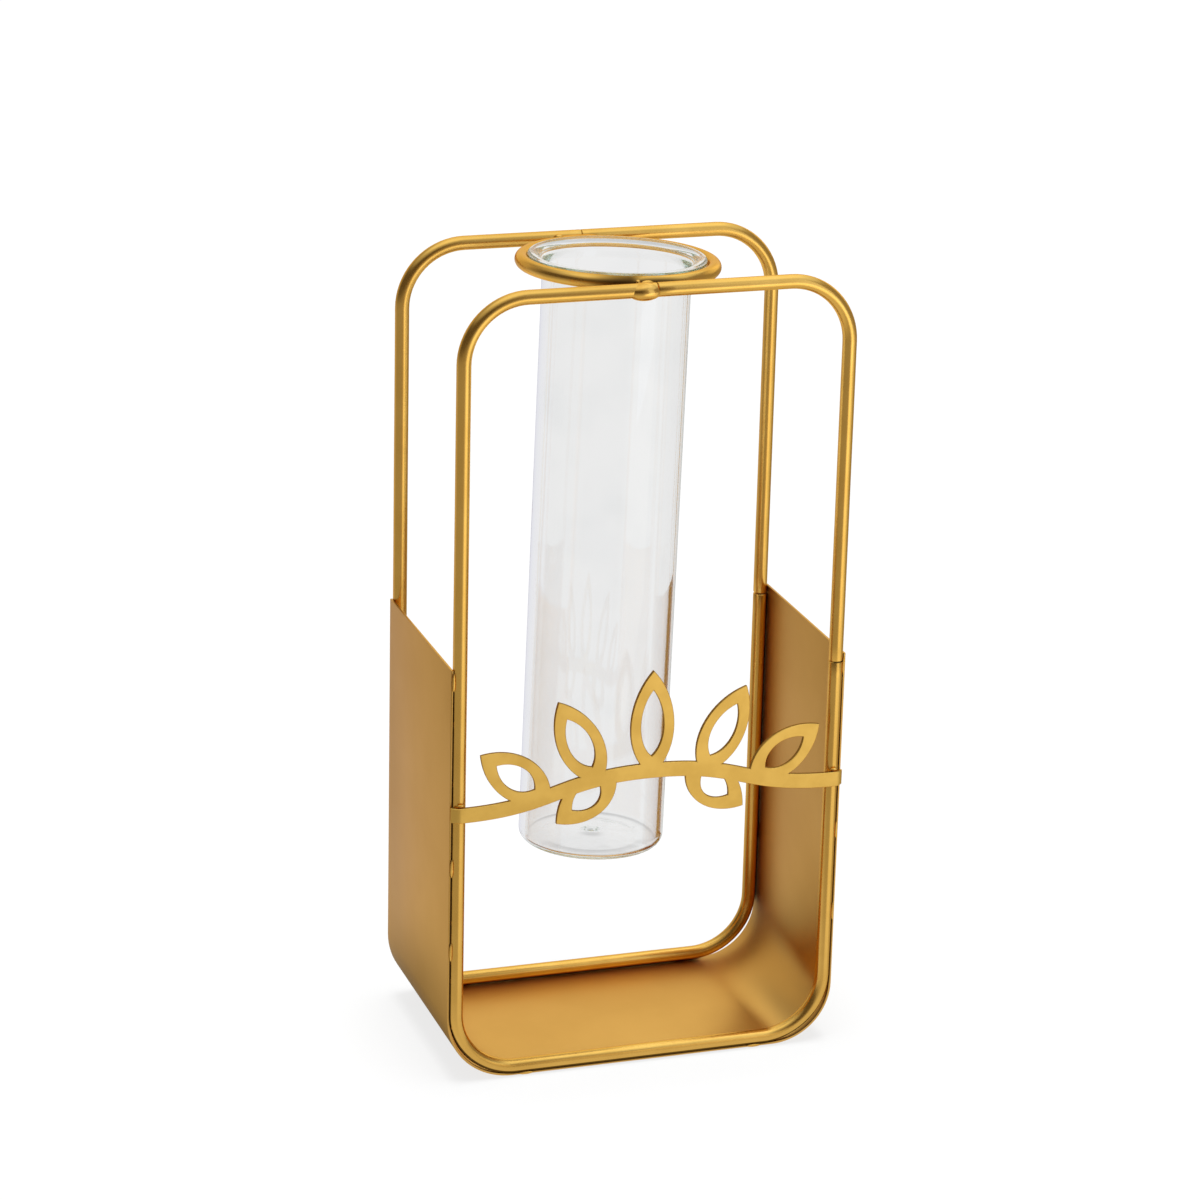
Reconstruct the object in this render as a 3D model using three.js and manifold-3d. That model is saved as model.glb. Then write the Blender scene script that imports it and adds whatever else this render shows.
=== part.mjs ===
// Hydroponic vase: a clear glass tube hangs by its flared lip in a wire ring, between two upright
// frames of bent round wire that stand in a U-shaped band of sheet metal. Each frame is a long wire
// and a corner wire, butted at the top and beside the right leg. A cut leaf spray crosses the front.
// Millimetres, +Z up, front towards -Y, origin on the ground under the middle of the band.

import * as THREE from 'three';
import { mergeVertices } from 'three/addons/utils/BufferGeometryUtils.js';
import Module from 'manifold-3d';

// Clearances between pieces that touch on the real object
const seamGap = 0.1; // wire to sheet, wire to ring, ribbon to wire
const weldGap = 0.2; // weld filler to the metal that it joins
const seatGap = 0.15; // glass lip to the ring that carries it
const buttGap = 0.3; // between the ends of one frame's two wires

// Wire frames, measured between centre lines
const wireDiameter = 3.5;
const frameWidth = 96;
const frameHeight = 195.7;
const bendRadius = 15.5;
const frontJointOffset = 3; // from the ring weld to the place where the front wires meet at the top
const rearJointOffset = 1.5; // the same at the rear
const legJointInset = 1.9; // the wires' other joint, below the top of the right leg

// Sheet-metal band under and beside the frames
const sheetThickness = 0.5;
const bandLeftBend = 16.5; // inside of its bends, one closer to the wires than the other
const bandRightBend = 15.2;
const bandLeftTop = 107.8; // height of each leg above the ground
const bandRightTop = 103.4;
const bandOverhang = 0.65; // sheet edge past the wire's centre line

// Glass tube
const tubeDiameter = 36;
const tubeWall = 1.45;
const tubeFootHeight = 50.65; // air between the band's floor and the tube's foot
const tubeHeelRadius = 3.2; // outside edge of the foot
const tubeFloor = 1.8; // thickness of the glass at the foot
const tubeWellRadius = 2; // inside corner above the floor
const puntRadius = 12; // shallow hollow under the foot
const puntHeight = 0.8;
const lipUnderBend = 1.2; // tight bend under the lip
const lipOverBend = 5; // wide bend from the bore out over the lip
const lipBead = 0.75; // radius of the lip's fire-polished edge
const lipSeat = 0.3; // lip edge past the inside of the ring

// Wire ring that carries the lip
const ringPlay = 3.4; // between the tube's wall and the ring
const ringX = -1.85; // the ring sits a little left of the middle
const ringLowRight = THREE.MathUtils.degToRad(1.85); // it is welded askew, so the tube hangs off plumb
const ringLowRear = THREE.MathUtils.degToRad(1.6);

// Leaf spray of cut sheet across the front
const sprayThickness = 1;
const stemWidth = 3.8;
const stemEndHeight = 71.2; // where the stem crosses the uprights
const stemRise = 7; // at the middle of its arch
const leafRim = 2.6; // metal left round each leaf's hole
const leafTipRim = 5; // the same, at the tip and the base
const leafWidth = 11;
const leafSink = 1.2; // a leaf's base inside the stem
const leafLowBend = 0.2; // control points of a leaf's side, as shares of its length
const leafHighBend = 0.7;
const leafReachShare = 0.674; // how far out they lie for the width asked for, as a share of it
const upperLeafLengths = [27, 24.5, 22]; // middle leaf, then outwards
const upperLeafPitch = 13.5; // along the stem
const upperLeafTurn = THREE.MathUtils.degToRad(27); // from one leaf to the next
const lowerLeafLength = 19;
const lowerLeafX = 10; // along the stem from its middle
const lowerLeafTurn = THREE.MathUtils.degToRad(128); // from upright

// Weld filler
const weldCover = 0.8; // thickness over a wire
const ballLength = 6.6; // ring weld at the front
const filletLength = 12; // ring weld at the rear
const ringWeldShift = -2.3; // ring welds from the ring's middle
const tackLength = 5.2;
const tackWidth = 1.2;
const tackLowHeight = 35;
const tackMiddleHeight = 57;
const tackTopInset = 3; // below the top of a leg
const bottomTackX = 30;
const endTackLength = 2.6; // spray to upright

// Facets
const wireFacets = 16;
const bendSteps = 8;
const ringSteps = 48;
const glassSteps = 44;
const arcSteps = 4;
const leafSteps = 8;
const stemSteps = 28;
const ballFacets = 18;
const tackFacets = 10;
const mergeDistance = 1e-4;

// Sizes that follow from the ones above
const wireRadius = wireDiameter / 2;
const bottomWireZ = sheetThickness + seamGap + wireRadius;
const topWireZ = bottomWireZ + frameHeight;
const uprightX = frameWidth / 2;
const ringRadius = tubeDiameter / 2 + ringPlay + wireRadius;
const frameY = ringRadius + wireDiameter + seamGap;
const bandInnerX = uprightX + wireRadius + seamGap;
const bandOuterX = bandInnerX + sheetThickness;
const bandEdgeY = frameY + bandOverhang;
const ringWeldX = ringX + ringWeldShift;
const legJointZ = bandRightTop - legJointInset;
const sprayBackY = frameY + wireRadius + seamGap;

const wasm = await Module();
wasm.setup();

const part = new THREE.Group();

const brightGold = { color: 0xd7a94a, roughness: 0.3, metalness: 1 };
const sheetGold = { color: 0xb18a4c, roughness: 0.45, metalness: 1 };
const sprayGold = { color: 0xddb052, roughness: 0.42, metalness: 1 };
const clearGlass = { color: 0xe8eeec, roughness: 0.04, metalness: 0, transparent: true, opacity: 0.35 };

function addPiece(name, geometry, finish, parent = part) {
  const piece = new THREE.Mesh(geometry, new THREE.MeshStandardMaterial(finish));
  piece.name = name;
  parent.add(piece);
  return piece;
}

function solidFrom(geometry) {
  const bare = geometry.clone();
  bare.deleteAttribute('normal');
  bare.deleteAttribute('uv');
  const merged = mergeVertices(bare, mergeDistance);
  return new wasm.Manifold(new wasm.Mesh({
    numProp: 3,
    vertProperties: merged.getAttribute('position').array,
    triVerts: new Uint32Array(merged.getIndex().array),
  }));
}

function geometryFrom(solid) {
  const { vertProperties, triVerts } = solid.getMesh();
  const geometry = new THREE.BufferGeometry();
  geometry.setAttribute('position', new THREE.BufferAttribute(vertProperties, 3));
  geometry.setIndex(new THREE.BufferAttribute(triVerts, 1));
  geometry.computeVertexNormals();
  return geometry;
}

// A drawing in X and Y, raised by a depth, stood up in XZ with its middle at y = 0
function standingPlate(outline, depth, steps) {
  const plate = new THREE.ExtrudeGeometry(outline, { depth, bevelEnabled: false, curveSegments: steps });
  return plate.translate(0, 0, -depth / 2).rotateX(Math.PI / 2);
}

// The centre line of a bent wire in XZ: one step along each straight and several round each bend
class WireLine extends THREE.Curve {
  constructor(drawing) {
    super();
    this.steps = [];
    for (const run of drawing.curves.filter((curve) => curve.getLength() > mergeDistance)) {
      const count = run.isLineCurve ? 1 : bendSteps;
      for (let i = 0; i < count; i += 1) {
        this.steps.push({ run, start: i / count, span: 1 / count });
      }
    }
  }

  at(t) {
    const place = Math.min(t, 1) * this.steps.length;
    const index = Math.min(Math.floor(place), this.steps.length - 1);
    const { run, start, span } = this.steps[index];
    return { run, t: start + (place - index) * span };
  }

  getPoint(t, target = new THREE.Vector3()) {
    const here = this.at(t);
    const point = here.run.getPoint(here.t);
    return target.set(point.x, 0, point.y);
  }

  getTangent(t, target = new THREE.Vector3()) {
    const here = this.at(t);
    const tangent = here.run.getTangent(here.t);
    return target.set(tangent.x, 0, tangent.y);
  }

  // Steps follow the drawing's own runs, not equal lengths
  getUtoTmapping(u) {
    return u;
  }
}

// A round wire along a drawing in XZ
function wireGeometry(drawing) {
  const line = new WireLine(drawing);
  const section = new THREE.Shape().absarc(0, 0, wireRadius, 0, 2 * Math.PI);
  return new THREE.ExtrudeGeometry(section, {
    extrudePath: line,
    steps: line.steps.length,
    curveSegments: wireFacets / 2,
  });
}

// Centres of a frame's bends
const bendX = uprightX - bendRadius;
const upperBendZ = topWireZ - bendRadius;
const lowerBendZ = bottomWireZ + bendRadius;
const quarter = Math.PI / 2;

// The long wire: from the joint beside the right leg down, round three bends and up to the top joint
function longWire(jointX) {
  const drawing = new THREE.Path();
  drawing.moveTo(uprightX, legJointZ - buttGap / 2);
  drawing.lineTo(uprightX, lowerBendZ);
  drawing.absarc(bendX, lowerBendZ, bendRadius, 0, -quarter, true);
  drawing.absarc(-bendX, lowerBendZ, bendRadius, -quarter, -2 * quarter, true);
  drawing.absarc(-bendX, upperBendZ, bendRadius, 2 * quarter, quarter, true);
  drawing.lineTo(jointX - buttGap / 2, topWireZ);
  return wireGeometry(drawing);
}

// The corner wire: from the top joint round the upper right bend and down to the joint beside the leg
function cornerWire(jointX) {
  const drawing = new THREE.Path();
  drawing.moveTo(jointX + buttGap / 2, topWireZ);
  drawing.lineTo(bendX, topWireZ);
  drawing.absarc(bendX, upperBendZ, bendRadius, quarter, 0, true);
  drawing.lineTo(uprightX, legJointZ + buttGap / 2);
  return wireGeometry(drawing);
}

// The band: left leg, floor and right leg in one strip with two bends
function bandGeometry() {
  const leftX = bandLeftBend - bandInnerX;
  const leftZ = bandLeftBend + sheetThickness;
  const rightX = bandInnerX - bandRightBend;
  const rightZ = bandRightBend + sheetThickness;
  const outline = new THREE.Shape();
  outline.moveTo(-bandInnerX, bandLeftTop);
  outline.lineTo(-bandOuterX, bandLeftTop);
  outline.absarc(leftX, leftZ, bandLeftBend + sheetThickness, 2 * quarter, 3 * quarter, false);
  outline.absarc(rightX, rightZ, bandRightBend + sheetThickness, 3 * quarter, 4 * quarter, false);
  outline.lineTo(bandOuterX, bandRightTop);
  outline.lineTo(bandInnerX, bandRightTop);
  outline.absarc(rightX, rightZ, bandRightBend, 4 * quarter, 3 * quarter, true);
  outline.absarc(leftX, leftZ, bandLeftBend, 3 * quarter, 2 * quarter, true);
  return standingPlate(outline, 2 * bandEdgeY, bendSteps / 2 + 1);
}

// The ring's wire seen from its own middle
function ringGeometry(growth = 0) {
  return new THREE.TorusGeometry(ringRadius, wireRadius + growth, wireFacets, ringSteps);
}

// The lip's rounded edge touches the ring's inner shoulder: its place from the ring's middle
const beadCentreRadius = tubeDiameter / 2 + ringPlay + lipSeat - lipBead;
const seatReach = wireRadius + seatGap + lipBead;
const seatAcross = ringRadius - beadCentreRadius;
const seatUp = Math.sqrt(seatReach ** 2 - seatAcross ** 2);

// The tube, turned from one closed profile whose height 0 is the middle of the lip's edge
function tubeGeometry() {
  const outer = tubeDiameter / 2;
  const inner = outer - tubeWall;
  const underReach = lipUnderBend + lipBead;
  const underTurn = Math.acos(Math.max(0, outer + lipUnderBend - beadCentreRadius) / underReach);
  const underZ = -underReach * Math.sin(underTurn);
  const overReach = lipOverBend - lipBead;
  const overTurn = Math.acos(Math.max(0, inner + lipOverBend - beadCentreRadius) / overReach);
  const overZ = -overReach * Math.sin(overTurn);
  const footZ = sheetThickness + tubeFootHeight - (topWireZ + seatUp);
  const floorZ = footZ + tubeFloor;
  const puntBend = (puntRadius ** 2 + puntHeight ** 2) / (2 * puntHeight);
  const puntTurn = Math.asin(puntRadius / puntBend);
  const profile = new THREE.Path();
  profile.absarc(0, footZ + puntHeight - puntBend, puntBend, quarter, quarter - puntTurn, true);
  profile.absarc(outer - tubeHeelRadius, footZ + tubeHeelRadius, tubeHeelRadius, -quarter, 0, false);
  profile.absarc(outer + lipUnderBend, underZ, lipUnderBend, Math.PI, Math.PI - underTurn, true);
  profile.absarc(beadCentreRadius, 0, lipBead, -underTurn, Math.PI - overTurn, false);
  profile.absarc(inner + lipOverBend, overZ, lipOverBend, Math.PI - overTurn, Math.PI, false);
  profile.absarc(inner - tubeWellRadius, floorZ + tubeWellRadius, tubeWellRadius, 0, -quarter, true);
  profile.lineTo(0, floorZ);
  return new THREE.LatheGeometry(profile.getPoints(arcSteps), glassSteps).rotateX(quarter);
}

// A pointed leaf along +Y from its base, with a leaf-shaped hole
function leafOutline(length) {
  const side = leafWidth * leafReachShare;
  const draw = (path, start, end, reach) => {
    const lowBend = start + leafLowBend * (end - start);
    const highBend = start + leafHighBend * (end - start);
    path.moveTo(0, start);
    path.bezierCurveTo(reach, lowBend, reach, highBend, 0, end);
    path.bezierCurveTo(-reach, highBend, -reach, lowBend, 0, start);
    return path;
  };
  const leaf = draw(new THREE.Shape(), 0, length, side);
  const holeSide = side * (1 - (2 * leafRim) / leafWidth);
  leaf.holes.push(draw(new THREE.Path(), leafTipRim, length - leafTipRim, holeSide));
  return leaf;
}

// The stem's centre line: level at both uprights and arched between them
function stemLine() {
  const line = new THREE.Path();
  line.moveTo(-uprightX, 0);
  line.bezierCurveTo(-uprightX / 2, 0, -uprightX / 2, stemRise, 0, stemRise);
  line.bezierCurveTo(uprightX / 2, stemRise, uprightX / 2, 0, uprightX, 0);
  return line;
}

// A ribbon of even width along a flat line
function ribbonOutline(line, width) {
  const sides = { left: [], right: [] };
  for (let i = 0; i <= stemSteps; i += 1) {
    const point = line.getPointAt(i / stemSteps);
    const tangent = line.getTangentAt(i / stemSteps);
    const out = new THREE.Vector2(-tangent.y, tangent.x).multiplyScalar(width / 2);
    sides.left.push(point.clone().add(out));
    sides.right.push(point.clone().sub(out));
  }
  return new THREE.Shape([...sides.right, ...sides.left.reverse()]);
}

// The stem's end bends back round its upright and stops short of the sheet's edge
function hookGeometry(side) {
  const inside = wireRadius + seamGap;
  const outside = inside + sprayThickness;
  const turn = Math.acos((bandOverhang + seamGap + weldGap) / inside);
  const front = -quarter;
  const end = front + side * turn;
  const outline = new THREE.Shape();
  outline.absarc(0, 0, outside, front, end, side < 0);
  outline.absarc(0, 0, inside, end, front, side > 0);
  const hook = new THREE.ExtrudeGeometry(outline, {
    depth: stemWidth,
    bevelEnabled: false,
    curveSegments: arcSteps,
  });
  return hook.translate(side * uprightX, -frameY, -stemWidth / 2);
}

// The whole spray as one cut and bent piece, in height from the stem's ends
function spraySolid() {
  const line = stemLine();
  const plateY = -sprayBackY - sprayThickness / 2;
  const plate = (outline, steps) => standingPlate(outline, sprayThickness, steps).translate(0, plateY, 0);
  let spray = solidFrom(plate(ribbonOutline(line, stemWidth), 1));
  const addLeaf = (x, length, turn) => {
    const along = line.getPointAt(0.5 + x / line.getLength());
    const leaf = standingPlate(leafOutline(length), sprayThickness, leafSteps);
    leaf.translate(0, 0, -leafSink).rotateY(turn).translate(along.x, plateY, along.y);
    spray = spray.add(solidFrom(leaf));
  };
  addLeaf(0, upperLeafLengths[0], 0);
  for (const side of [-1, 1]) {
    addLeaf(side * upperLeafPitch, upperLeafLengths[1], side * upperLeafTurn);
    addLeaf(side * 2 * upperLeafPitch, upperLeafLengths[2], side * 2 * upperLeafTurn);
    addLeaf(side * lowerLeafX, lowerLeafLength, side * lowerLeafTurn);
    spray = spray.add(solidFrom(hookGeometry(side)));
  }
  return spray.translate([0, 0, stemEndHeight]);
}

// A bead of weld filler: a rounded lump with room cut out for the pieces that it joins
function beadGeometry(centre, radii, facets, cuts) {
  const lump = new THREE.SphereGeometry(1, facets, facets / 2);
  lump.scale(radii.x, radii.y, radii.z).translate(centre.x, centre.y, centre.z);
  return geometryFrom(cuts.reduce((bead, cut) => bead.subtract(cut), solidFrom(lump)));
}

// Room for the wires of a frame, grown by the weld gap: its top or bottom run, or an upright
function levelWireRoom(y, z) {
  const radius = wireRadius + weldGap;
  const room = new THREE.CylinderGeometry(radius, radius, frameWidth, wireFacets);
  return solidFrom(room.rotateZ(quarter).translate(0, y, z));
}

function uprightRoom(x, y) {
  const radius = wireRadius + weldGap;
  const room = new THREE.CylinderGeometry(radius, radius, frameHeight, wireFacets);
  return solidFrom(room.rotateX(quarter).translate(x, y, bottomWireZ + frameHeight / 2));
}

// Frames and band
const frames = [
  { endName: 'front', y: -frameY, jointX: ringWeldX + frontJointOffset },
  { endName: 'rear', y: frameY, jointX: ringWeldX + rearJointOffset },
];
for (const { endName, y, jointX } of frames) {
  addPiece(`${endName}_wire_frame`, longWire(jointX), brightGold).position.y = y;
  addPiece(`${endName}_corner_wire`, cornerWire(jointX), brightGold).position.y = y;
}
addPiece('base_band', bandGeometry(), sheetGold);

// The ring, welded askew, and the glass tube that hangs square in it
const hanger = new THREE.Group();
hanger.position.set(ringX, 0, topWireZ);
hanger.rotation.set(-ringLowRear, ringLowRight, 0);
part.add(hanger);
addPiece('tube_ring', ringGeometry(), brightGold, hanger);
addPiece('glass_tube', tubeGeometry(), clearGlass, hanger).position.z = seatUp;

// Leaf spray
const spray = spraySolid();
addPiece('leaf_spray', geometryFrom(spray), sprayGold);

// Ring welds: a ball round the front wire and a fillet in the groove at the rear
hanger.updateMatrix();
const ringRoom = solidFrom(ringGeometry(weldGap).applyMatrix4(hanger.matrix));
const ballCentre = new THREE.Vector3(ringWeldX, -frameY, topWireZ);
const ballRadius = wireRadius + weldCover;
const ballReach = ballLength / 2 / Math.sqrt(1 - ((wireRadius + weldGap) / ballRadius) ** 2);
const ballRadii = new THREE.Vector3(ballReach, ballRadius, ballRadius);
const ballCuts = [levelWireRoom(-frameY, topWireZ), ringRoom];
addPiece('ring_weld_front', beadGeometry(ballCentre, ballRadii, ballFacets, ballCuts), brightGold);

const rearDrop = ringRadius * Math.sin(ringLowRear);
const filletHeight = topWireZ + wireRadius - rearDrop / 2;
const filletCentre = new THREE.Vector3(ringWeldX, (frameY + ringRadius) / 2, filletHeight);
const filletRadii = new THREE.Vector3(filletLength / 2, wireRadius, weldCover);
const filletCuts = [levelWireRoom(frameY, topWireZ), ringRoom];
addPiece('ring_weld_rear', beadGeometry(filletCentre, filletRadii, ballFacets, filletCuts), brightGold);

// Room for the band's sheet, grown by the weld gap on every side
function sheetRoom(x0, x1, z0, z1) {
  const box = new THREE.BoxGeometry(x1 - x0 + 2 * weldGap, 2 * (bandEdgeY + weldGap), z1 - z0 + 2 * weldGap);
  return solidFrom(box.translate((x0 + x1) / 2, 0, (z0 + z1) / 2));
}

// Tack welds in the groove between the uprights and the legs of the band
const legs = [
  { side: -1, sideName: 'left', top: bandLeftTop },
  { side: 1, sideName: 'right', top: bandRightTop },
];
const edges = [
  { end: -1, endName: 'front' },
  { end: 1, endName: 'rear' },
];
for (const { side, sideName, top } of legs) {
  const legX = [side * bandInnerX, side * bandOuterX].sort((a, b) => a - b);
  const legRoom = sheetRoom(legX[0], legX[1], 0, top);
  const heights = { top: top - tackTopInset, middle: tackMiddleHeight, low: tackLowHeight };
  for (const { end, endName } of edges) {
    const upright = uprightRoom(side * uprightX, end * frameY);
    for (const [level, height] of Object.entries(heights)) {
      const centre = new THREE.Vector3(side * bandInnerX, end * bandEdgeY, height);
      const radii = new THREE.Vector3(tackWidth / 2, tackWidth / 2, tackLength / 2);
      const bead = beadGeometry(centre, radii, tackFacets, [upright, legRoom]);
      addPiece(`tack_weld_${endName}_${sideName}_${level}`, bead, brightGold);
    }
  }
}

// Tack welds between the bottom wires and the floor of the band
const floorRoom = sheetRoom(-bandInnerX, bandInnerX, 0, sheetThickness);
for (const { end, endName } of edges) {
  const bottomWire = levelWireRoom(end * frameY, bottomWireZ);
  for (const { side, sideName } of legs) {
    const height = sheetThickness + seamGap;
    const centre = new THREE.Vector3(side * bottomTackX, end * bandEdgeY, height);
    const radii = new THREE.Vector3(tackLength / 2, tackWidth / 2, tackWidth / 2);
    const bead = beadGeometry(centre, radii, tackFacets, [bottomWire, floorRoom]);
    addPiece(`tack_weld_${endName}_bottom_${sideName}`, bead, brightGold);
  }
}

// Tack welds that hold the spray's stem to the uprights, on its upper edge
for (const { side, sideName } of legs) {
  const upright = uprightRoom(side * uprightX, -frameY);
  const stemRoom = new THREE.BoxGeometry(frameWidth, frameY, stemWidth + 2 * weldGap);
  stemRoom.translate(side * uprightX, -frameY, stemEndHeight);
  const centre = new THREE.Vector3(side * uprightX, -sprayBackY, stemEndHeight + stemWidth / 2 + weldGap);
  const radii = new THREE.Vector3(endTackLength / 2, weldCover, weldCover);
  const bead = beadGeometry(centre, radii, tackFacets, [upright, solidFrom(stemRoom)]);
  addPiece(`spray_weld_${sideName}`, bead, brightGold);
}

export default part;
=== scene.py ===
import math

import bmesh
import bpy
from mathutils import Matrix, Vector
from mathutils.geometry import delaunay_2d_cdt


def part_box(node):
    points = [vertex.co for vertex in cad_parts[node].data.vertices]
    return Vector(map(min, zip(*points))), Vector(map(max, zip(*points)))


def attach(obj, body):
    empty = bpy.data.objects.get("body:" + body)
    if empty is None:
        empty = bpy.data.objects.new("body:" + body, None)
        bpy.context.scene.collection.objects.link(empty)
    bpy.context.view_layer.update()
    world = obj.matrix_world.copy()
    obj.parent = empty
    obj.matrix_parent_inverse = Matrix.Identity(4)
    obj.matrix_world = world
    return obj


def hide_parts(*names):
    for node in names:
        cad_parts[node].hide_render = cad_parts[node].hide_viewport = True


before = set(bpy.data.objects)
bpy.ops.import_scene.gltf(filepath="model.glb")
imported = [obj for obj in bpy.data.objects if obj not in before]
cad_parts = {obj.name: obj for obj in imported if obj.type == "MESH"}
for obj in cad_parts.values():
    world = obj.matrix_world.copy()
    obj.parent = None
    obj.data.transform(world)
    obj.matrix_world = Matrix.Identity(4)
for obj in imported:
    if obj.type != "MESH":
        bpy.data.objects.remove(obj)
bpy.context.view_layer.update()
mm = 0.001  # sizes below are in millimetres, meshes in metres
print("stage: frame loaded,", len(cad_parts), "solids")


# Places taken from the solids, in millimetres
def nodeBox(node):
    low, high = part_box(node)
    return Vector(low) / mm, Vector(high) / mm


wirePlan = dict(radius=1.75, bend=15.5, buttGap=0.3, step=4.0, bendSteps=18, sides=40, waviness=0.06,
                waveLength=26, rim=((0.0, 0.90), (0.08, 0.97), (0.22, 1.0)),
                topGap={"front": 0.16, "rear": 0.06}, legGap={"front": 0.12, "rear": 0.36})
frontLow, frontHigh = nodeBox("front_wire_frame")
rearLow, rearHigh = nodeBox("rear_wire_frame")
bandLow, bandHigh = nodeBox("base_band")
uprightX = frontHigh.x - wirePlan["radius"]
topZ = frontHigh.z - wirePlan["radius"]
bottomZ = frontLow.z + wirePlan["radius"]
frameY = (rearLow.y + rearHigh.y) / 2
frameSides = (("front", -frameY), ("rear", frameY))
bendX = uprightX - wirePlan["bend"]
upperBendZ = topZ - wirePlan["bend"]
lowerBendZ = bottomZ + wirePlan["bend"]
legJointZ = nodeBox("front_corner_wire")[0].z - wirePlan["buttGap"] / 2
bandPlan = dict(contact=0.02, bends=(16.5, 14.7), bendSteps=20, edgeBreak=0.09, breakSegments=2,
                breakAngle=50, sharpAngle=28, legTops=(107.8, 103.4))
leftTop, rightTop = bandPlan["legTops"]
ringLow, ringHigh = nodeBox("tube_ring")
ringX = (ringLow.x + ringHigh.x) / 2
ringRadius = (ringHigh.x - ringLow.x) / 2 - wirePlan["radius"]


# Shader and geometry nodes: values take plain arithmetic, every other node comes from add()
class Signal:
    def __init__(self, board, socket):
        self.board = board
        self.socket = socket

    def maths(self, operation, first, second=None):
        values = {0: first} if second is None else {0: first, 1: second}
        return self.board.add("ShaderNodeMath", {"operation": operation}, values)

    def __add__(self, other):
        return self.maths("ADD", self, other)

    def __radd__(self, other):
        return self.maths("ADD", other, self)

    def __sub__(self, other):
        return self.maths("SUBTRACT", self, other)

    def __rsub__(self, other):
        return self.maths("SUBTRACT", other, self)

    def __mul__(self, other):
        return self.maths("MULTIPLY", self, other)

    def __truediv__(self, other):
        return self.maths("DIVIDE", self, other)

    def __rtruediv__(self, other):
        return self.maths("DIVIDE", other, self)

    def __pow__(self, other):
        return self.maths("POWER", self, other)

    def __abs__(self):
        return self.maths("ABSOLUTE", self)

    def highest(self, other):
        return self.maths("MAXIMUM", self, other)

    def lowest(self, other):
        return self.maths("MINIMUM", self, other)

    def out(self, name):
        return Signal(self.board, self.socket.node.outputs[name])


class Board:
    def __init__(self, tree):
        self.tree = tree
        tree.nodes.clear()

    # kind of node, its settings (a ramp's stops too), then the values or links of its sockets
    def add(self, kind, settings=None, values=None, output=0):
        node = self.tree.nodes.new(kind)
        for name, setting in (settings or {}).items():
            if name == "stops":
                self.setStops(node.color_ramp, setting)
            else:
                setattr(node, name, setting)
        for key, value in (values or {}).items():
            if isinstance(value, Signal):
                self.tree.links.new(value.socket, node.inputs[key])
            else:
                node.inputs[key].default_value = value
        return Signal(self, node.outputs[output]) if len(node.outputs) else node

    def setStops(self, ramp, stops):
        while len(ramp.elements) < len(stops):
            ramp.elements.new(1.0)
        for element, (position, colour) in zip(ramp.elements, stops):
            element.position = position
            element.color = (*colour, 1.0)

    def smooth(self, value, low, high):
        return self.add("ShaderNodeMapRange", {"interpolation_type": "SMOOTHSTEP"},
                        {0: value, 1: low, 2: high})

    def blend(self, factor, first, second):
        return self.add("ShaderNodeMix", {"data_type": "RGBA"}, {0: factor, 6: first, 7: second}, output=2)

    def stretched(self, vector, scale):
        return self.add("ShaderNodeVectorMath", {"operation": "MULTIPLY"}, {0: vector, 1: scale})

    def split(self, vector):
        parts = self.add("ShaderNodeSeparateXYZ", None, {0: vector})
        return parts, parts.out("Y"), parts.out("Z")

    def noise(self, vector, size, detail=2.0, roughness=0.5):
        return self.add("ShaderNodeTexNoise", None, {"Vector": vector, "Scale": 1 / (size * mm),
                                                     "Detail": detail, "Roughness": roughness})

    def glow(self, strength):
        return self.add("ShaderNodeEmission", None, {"Color": rgba((1, 1, 1)), "Strength": strength})

    def either(self, factor, first, second):
        return self.add("ShaderNodeMixShader", None, {0: factor, 1: first, 2: second})


def rgba(colour):
    return (*colour, 1.0)


# Gold finishes: satin on wires and welds, softer on the sheet, fine-grained on the cut spray; each has a
# colour for painted shade
goldFinishes = {
    "wire": dict(light=(0.86, 0.505, 0.115), deep=(0.82, 0.47, 0.10), edge=(1.0, 0.8, 0.5),
                 paintedShade=(0.12, 0.06, 0.014), roughness=0.25, spread=0.04, blotch=9, grain=0.32,
                 grainDepth=0.0012, speck=0.06),
    "sheet": dict(light=(0.80, 0.46, 0.12), deep=(0.76, 0.43, 0.108), edge=(0.975, 0.85, 0.64),
                  paintedShade=(0.26, 0.13, 0.03), roughness=0.36, spread=0.03, blotch=30, grain=0.28,
                  grainDepth=0.0022, speck=0.06),
    "spray": dict(light=(0.86, 0.535, 0.125), deep=(0.79, 0.48, 0.105), edge=(1.0, 0.8, 0.5),
                  paintedShade=(0.42, 0.21, 0.045), roughness=0.38, spread=0.05, blotch=7, grain=0.26,
                  grainDepth=0.008, speck=0.22),
    "weld": dict(light=(0.86, 0.50, 0.115), deep=(0.76, 0.42, 0.085), edge=(1.0, 0.8, 0.5),
                 paintedShade=(0.10, 0.05, 0.012), roughness=0.22, spread=0.08, blotch=2.2, grain=0.4,
                 grainDepth=0.004, speck=0.08),
}
# Where the painted shade in the crevices starts and ends
seamPlan = dict(wireFrom=1.43, wireTo=1.64, sheetFrom=25.7, sheetTo=26.5, patch=3.5, patchFrom=0.36,
                patchTo=0.44, jointSpread=0.35, filledX=47.2, filledFade=0.4, insideZ=60, faceFade=5,
                wallFrom=0.25, wallTo=0.6, wallReach=47.6, wallFade=0.5, fade=1.5, bendFade=4.0,
                lowGain=0.74, middleFade=5, ringFrom=2.6, ringTo=0.7, shadedFrom=6.5, shadedTo=1.5,
                shadedX=(-2.0, -7.0), besideRing=0.5)


# How far a point lies outside the frames' centre line, in the plane of the frame
def outsideFrame(x, z):
    middle = (topZ + bottomZ) / 2
    acrossX = abs(x) - bendX * mm
    acrossZ = abs(z - middle * mm) - (upperBendZ - middle) * mm
    cornerX, cornerZ = acrossX.highest(0.0), acrossZ.highest(0.0)
    corner = (cornerX * cornerX + cornerZ * cornerZ) ** 0.5
    return corner + acrossX.highest(acrossZ).lowest(0.0) - wirePlan["bend"] * mm
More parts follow.
